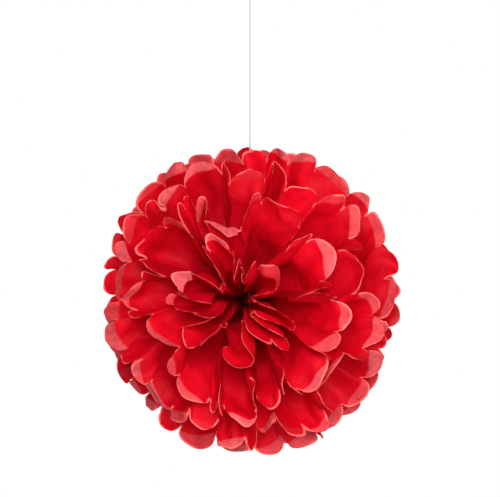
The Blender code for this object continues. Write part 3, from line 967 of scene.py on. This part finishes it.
def in_between(line: Array, spacing: float) -> Array:
    """Return a smooth line through points, cut into even steps.

    Args:
        line: the points that it runs through.
        spacing: length of a step in metres.

    Returns:
        The finer line's points.
    """
    ends = np.concatenate([[2 * line[0] - line[1]], line, [2 * line[-1] - line[-2]]])
    before, start, end, after = (ends[k:len(ends) - 3 + k, None, :] for k in range(4))
    share = np.linspace(0, 1, 13)[:-1][None, :, None]
    bent = 2 * start + (end - before) * share + (2 * before - 5 * start + 4 * end - after) * share ** 2
    bent = 0.5 * (bent + (3 * start - before - 3 * end + after) * share ** 3)
    dense = np.concatenate([bent.reshape(-1, 3), line[-1:]])
    length = np.concatenate([[0], np.cumsum(np.linalg.norm(np.diff(dense, axis=0), axis=1))])
    steps = np.linspace(0, length[-1], max(2, round(length[-1] / spacing) + 1))
    return np.stack([np.interp(steps, length, dense[:, axis]) for axis in range(3)], -1)


@dataclass(frozen=True)
class Strand:
    """A round wire, or a thread of twisted plies, as a closed tube along a line."""

    radius: float
    spacing: float = 0.0003
    sides: int = 15
    plies: int = 0
    pitch: float = 0.0042
    groove: float = 0.16

    def mesh(self, name: str, line: Array) -> bpy.types.Object:
        """Make the tube.

        Args:
            name: the piece's name.
            line: the points that it follows.

        Returns:
            The tube, with a ply attribute that falls to 0 in the grooves.
        """
        line = in_between(np.array(line, dtype=float), self.spacing)
        heading = np.gradient(line, axis=0)
        heading /= np.linalg.norm(heading, axis=1, keepdims=True)
        across = Vector(heading[0]).orthogonal().normalized()
        body = bmesh.new()
        layer = body.verts.layers.float.new("ply")
        rings = []
        turns = 2 * math.pi * np.arange(self.sides) / self.sides
        last = len(line) - 1
        for step, (point, ahead) in enumerate(zip(line, heading)):
            ahead = Vector(ahead)
            across = (across - ahead * across.dot(ahead)).normalized()
            other = ahead.cross(across)
            twist = 2 * math.pi * step * self.spacing / self.pitch
            from_end = min(step, last - step) * self.spacing / self.radius
            round_end = math.sqrt(max(1 - max(1 - from_end, 0) ** 2, 0.04))
            ring = []
            for turn in turns:
                crest = abs(math.cos(self.plies * (turn - twist) / 2)) if self.plies else 1.0
                radius = self.radius * round_end * (1 - self.groove * (1 - crest ** 0.7))
                place = Vector(point) + (across * math.cos(turn) + other * math.sin(turn)) * radius
                vertex = body.verts.new(place)
                vertex[layer] = crest
                ring.append(vertex)
            rings.append(ring)
        for first, second in zip(rings, rings[1:]):
            for k in range(self.sides):
                body.faces.new((first[k], first[k - 1], second[k - 1], second[k]))
        body.faces.new(rings[0])
        body.faces.new(rings[-1][::-1])
        bmesh.ops.recalc_face_normals(body, faces=body.faces)
        mesh = bpy.data.meshes.new(name)
        body.to_mesh(mesh)
        body.free()
        for face in mesh.polygons:
            face.use_smooth = len(face.vertices) == 4
        obj = bpy.data.objects.new(name, mesh)
        bpy.context.scene.collection.objects.link(obj)
        return obj


def dress(obj: bpy.types.Object, finish: bpy.types.Material, node: str) -> bpy.types.Object:
    """Give a piece its finish, and let it stand for its CAD node.

    Args:
        obj: the piece.
        finish: its material.
        node: the CAD node that it stands for.

    Returns:
        The piece.
    """
    obj.data.materials.clear()
    obj.data.materials.append(finish)
    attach(obj, "root")
    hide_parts(node)
    return obj


@dataclass
class TieWire:
    """The wire round the folded strip: once round its middle, then twisted together above it."""

    diameter: float = HANGING.wire
    twist_steps: int = 6
    ring_steps: int = 18
    sides: int = 14
    spacing: float = 0.0004

    @staticmethod
    def ring() -> tuple[float, float]:
        """Return the half widths of the tie round the necks, along Y and Z, at the middle of its wire."""
        bundle = (OPENING.sheets - 1) / 2 * OPENING.neck_pitch * OPENING.stretch[1]
        margin = PAPER.cad_wall + HANGING.clearance + HANGING.wire / 2
        return bundle + 2 * margin, OPENING.neck_inner * OPENING.stretch[2] + margin + HANGING.clearance

    def line(self) -> Array:
        """Return the wire's route."""
        half_y, half_z = self.ring()
        strand = self.diameter / 2 + HANGING.clearance
        opening = math.asin(strand / half_y)
        foot = half_z * math.cos(opening) + self.diameter
        steps = self.twist_steps * HANGING.twist_turns
        share = np.arange(steps + 1) / steps
        turn = 2 * math.pi * HANGING.twist_turns * share
        rise = foot + HANGING.twist_height * share
        twisted = np.stack([-strand * np.sin(turn), -strand * np.cos(turn), rise], -1)
        down = (twisted * np.array([-1, -1, 1]))[::-1]
        turn = opening + (2 * math.pi - 2 * opening) * np.arange(self.ring_steps + 1) / self.ring_steps
        round_it = np.stack([0 * turn, half_y * np.sin(turn), half_z * np.cos(turn)], -1)
        return np.concatenate([down, round_it, twisted]) + np.array([0, 0, BALL_CENTRE_Z])

    def build(self, finish: bpy.types.Material) -> bpy.types.Object:
        """Make the wire and dress it."""
        strand = Strand(self.diameter / 2, self.spacing, self.sides)
        return dress(strand.mesh("florist_tie_wire", self.line()), finish, "tie_wire")


@dataclass
class HangingThread:
    """The thread: wound on the twisted wire, straight up to the knot, and a loop above it."""

    diameter: float = HANGING.thread
    plies: int = 3
    turn_steps: int = 10
    loop_steps: int = 22
    tuck: float = 0.0012

    def line(self) -> Array:
        """Return the thread's route from the tie to its knot."""
        wound = HANGING.wire + 2 * HANGING.clearance + self.diameter / 2
        foot = BALL_CENTRE_Z + TieWire.ring()[1] + HANGING.wire
        start = foot + 0.3 * HANGING.twist_height
        step = np.arange(round(self.turn_steps * HANGING.thread_turns) + 1)
        turn = 2 * math.pi * step / self.turn_steps
        rise = (self.diameter + 2 * HANGING.clearance) * step / self.turn_steps
        winding = np.stack([wound * np.cos(turn), wound * np.sin(turn), start + rise], -1)
        last = winding[-1]
        clear = foot + HANGING.twist_height + HANGING.wire + 2 * self.diameter
        leaving = [
            (last[0], last[1] - self.tuck, last[2] + self.tuck),
            (last[0] * 0.98, -self.tuck / 2, (last[2] + clear) / 2),
            (last[0] * 0.6, 0, clear),
        ]
        low = clear + 3 * self.diameter
        top = -(HANGING.loop_height + HANGING.knot_height + HANGING.clearance)
        straight = [(0, 0, low + (top - low) * share) for share in np.linspace(0, 1, 13)]
        return np.concatenate([winding, np.array(leaving), np.array(straight)])

    def loop_line(self) -> Array:
        """Return the loop's route: a drop shape whose inner top is at the origin."""
        share = np.arange(self.loop_steps + 1) / self.loop_steps
        turn = math.pi * (2 * share - 1)
        bow = np.sin(turn) * np.clip(np.cos(turn / 2), 0, 1) ** 0.6
        apart = (self.diameter + HANGING.clearance) / 2
        leg = apart * smooth(np.abs(turn), 2.0, math.pi) * np.where(turn > 0, 1, -1)
        height = self.diameter / 2 - HANGING.loop_height * (0.5 - 0.5 * np.cos(turn))
        route = np.stack([HANGING.loop_width / 2 * bow + leg, 0 * turn, height], -1)
        tucked = np.array([0.5, 1, 1]) * route[[0, -1]] - np.array([0, 0, self.tuck])
        return np.concatenate([tucked[:1], route, tucked[1:]])

    def build(self, finish: bpy.types.Material) -> list[bpy.types.Object]:
        """Args:
            finish: the thread's material.

        Returns:
            The thread, its loop and its knot.
        """
        line = self.line()
        strand = Strand(self.diameter / 2, plies=self.plies)
        thread = dress(strand.mesh("cotton_thread", line), finish, "hanging_thread")
        loop = dress(strand.mesh("thread_loop", self.loop_line()), finish, "hanging_loop")
        knot = ThreadKnot().build(finish)
        return [thread, loop, knot]


@dataclass
class ThreadKnot:
    """The knot under the loop: tight turns of the thread over a core, and its cut end."""

    turns: float = 2.9
    tail: float = 0.0045
    spacing: float = 0.00025
    core_shares: tuple[float, float] = (0.62, 0.86)
    core_crest: float = 0.7

    def line(self) -> Array:
        """Return the route of the turns and of the cut end that sticks out below them."""
        radius = HANGING.knot_width / 2 - HANGING.thread / 2
        high = -HANGING.loop_height - HANGING.thread / 2 - HANGING.clearance
        low = -(HANGING.loop_height + HANGING.knot_height) + HANGING.thread / 2 + HANGING.clearance
        share = np.linspace(0, 1, 30)
        turn = 2 * math.pi * self.turns * share
        squeeze = radius * (0.86 + 0.14 * np.sin(math.pi * share))
        turns = np.stack([squeeze * np.cos(turn), squeeze * np.sin(turn), high + (low - high) * share], -1)
        start, end = turns[0], turns[-1]
        tucked = start * np.array([0.3, 0.3, 1]) + np.array([0, 0, 0.0002])
        onward = turns[-1] - turns[-2]
        onward = onward / np.linalg.norm(onward)
        drop = np.array([0, 0, -1.0])
        outer = [end + self.tail * (ahead * onward + below * drop)
                 for ahead, below in ((0.25, 0.08), (0.45, 0.35), (0.55, 0.75))]
        return np.concatenate([[tucked], turns, np.array(outer)])

    def build(self, finish: bpy.types.Material) -> bpy.types.Object:
        """Make the knot's turns and core, join them and dress them.

        Args:
            finish: the thread's material.

        Returns:
            The knot, standing for its CAD node.
        """
        knot = Strand(HANGING.thread / 2, self.spacing, plies=3).mesh("thread_knot", self.line())
        deselect()
        middle = -(HANGING.loop_height + HANGING.knot_height / 2)
        bpy.ops.mesh.primitive_uv_sphere_add(segments=20, ring_count=12, radius=0.5, location=(0, 0, middle))
        core = bpy.context.object
        across, high = self.core_shares
        core.scale = (HANGING.knot_width * across, HANGING.knot_width * across, HANGING.knot_height * high)
        bpy.ops.object.transform_apply(location=True, rotation=False, scale=True)
        bpy.ops.object.shade_smooth()
        # The core takes part of the thread's painted groove shade through its ply value.
        set_floats(core.data, "ply", np.full(len(core.data.vertices), self.core_crest))
        knot.select_set(True)
        bpy.context.view_layer.objects.active = knot
        bpy.ops.object.join()
        return dress(knot, finish, "loop_knot")


@dataclass(frozen=True)
class SoftBox:
    """A square soft box that faces the ball: its place from the ball's centre, its side and its watts."""

    name: str
    place: tuple[float, float, float]
    size: float
    power: float

    def add(self) -> bpy.types.Object:
        """Stand the soft box in its place, and return it."""
        data = bpy.data.lights.new(self.name, "AREA")
        data.size = self.size
        data.energy = self.power
        lamp = bpy.data.objects.new(self.name, data)
        lamp.location = Vector(self.place) + Vector((0, 0, BALL_CENTRE_Z))
        lamp.rotation_euler = (-Vector(self.place)).to_track_quat("-Z", "Y").to_euler()
        bpy.context.scene.collection.objects.link(lamp)
        return lamp


@dataclass
class Studio:
    """The white studio: camera, soft lights, a pale floor far below and a white surround."""

    distance: float = 1.0
    azimuth: float = math.radians(7)
    camera_rise: float = 0.0436
    lens: float = 85.0
    floor_drop: float = 0.60
    floor_size: float = 3.0
    floor_white: tuple[float, float, float] = (0.86, 0.86, 0.86)
    surround: float = 0.10
    lamps: tuple[SoftBox, ...] = (
        SoftBox("key_soft_box", (0.15, -1.25, 0.30), 0.5, 20.8),
        SoftBox("fill_soft_box", (0.95, -0.85, 0.0), 0.9, 9.5),
        SoftBox("back_soft_box", (-0.60, 1.20, 0.45), 0.8, 6.5),
    )

    def add_camera(self) -> bpy.types.Object:
        """Place the camera level with the ball's upper half, a little to its right."""
        camera = bpy.data.objects.new("catalogue_camera", bpy.data.cameras.new("catalogue_camera"))
        camera.data.lens = self.lens
        camera.location = (self.distance * math.sin(self.azimuth), -self.distance * math.cos(self.azimuth),
                           BALL_CENTRE_Z + self.camera_rise)
        camera.rotation_euler = (math.radians(90), 0, self.azimuth)
        bpy.context.scene.collection.objects.link(camera)
        bpy.context.scene.camera = camera
        return camera

    def white_for_lens(self, tool: NodeTool, low: float) -> Socket:
        """Make the surround white to the lens and dimmer as a light.

        Args:
            tool: the surround's node tool.
            low: its strength as a light.

        Returns:
            1 for what the lens, gloss and glass see, and low for the light on the object.
        """
        path = tool.add("ShaderNodeLightPath").outputs
        seen = tool.math("MAXIMUM", path["Is Camera Ray"], path["Is Glossy Ray"])
        seen = tool.math("MAXIMUM", seen, path["Is Transmission Ray"])
        return tool.add("ShaderNodeMapRange", {"Value": seen, "To Min": low, "To Max": 1.0}).outputs[0]

    def add_surround(self) -> bpy.types.World:
        """Make the white surround, dimmer as a light than it looks."""
        world = bpy.data.worlds.new("white_surround")
        bpy.context.scene.world = world
        world.use_nodes = True
        background = world.node_tree.nodes["Background"]
        background.inputs["Color"].default_value = (1, 1, 1, 1)
        tool = NodeTool(world.node_tree)
        tool.feed(background, {"Strength": self.white_for_lens(tool, self.surround)})
        return world

    def add_floor(self) -> bpy.types.Object:
        """Lay the pale floor, well below the hanging ball."""
        deselect()
        level = BALL_CENTRE_Z - self.floor_drop
        bpy.ops.mesh.primitive_plane_add(size=self.floor_size, location=(0, 0, level))
        floor = bpy.context.object
        floor.name = "studio_floor"
        material, tool, shader, _ = blank_material("pale_floor")
        cloud = FibreCloud().place(tool, tool.coordinates(), 0.30, 0.002)
        tone = tool.ramp(cloud.outputs["Cloud"], 0.2, 0.8, 0.96, 1.0)
        tool.feed(shader, {"Base Color": tool.scaled(self.floor_white, tone), "Roughness": 0.8})
        floor.data.materials.append(material)
        return floor

    def build(self) -> None:
        """Set the studio up."""
        scene = bpy.context.scene
        scene.view_settings.view_transform = "Standard"
        self.add_surround()
        self.add_floor()
        for lamp in self.lamps:
            lamp.add()


def report(obj: bpy.types.Object) -> None:
    """Log a piece's name and size."""
    size = ", ".join(f"{1000 * side:.1f}" for side in obj.dimensions)
    LOG.info("%s: %d faces, %s mm", obj.name, len(obj.data.polygons), size)


def main() -> None:
    """Build the camera and the cords, then the sheets and the tie wire."""
    logging.basicConfig(level=logging.INFO, format="%(message)s")
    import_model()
    studio = Studio()
    studio.add_camera()
    for piece in HangingThread().build(CottonThread().build()):
        report(piece)
    tissue = DyedTissue().build()
    for index in range(OPENING.sheets):
        report(TissueSheet(index).build(tissue))
    report(TieWire().build(FloristWire().build()))
    studio.build()


if __name__ == "__main__":
    main()
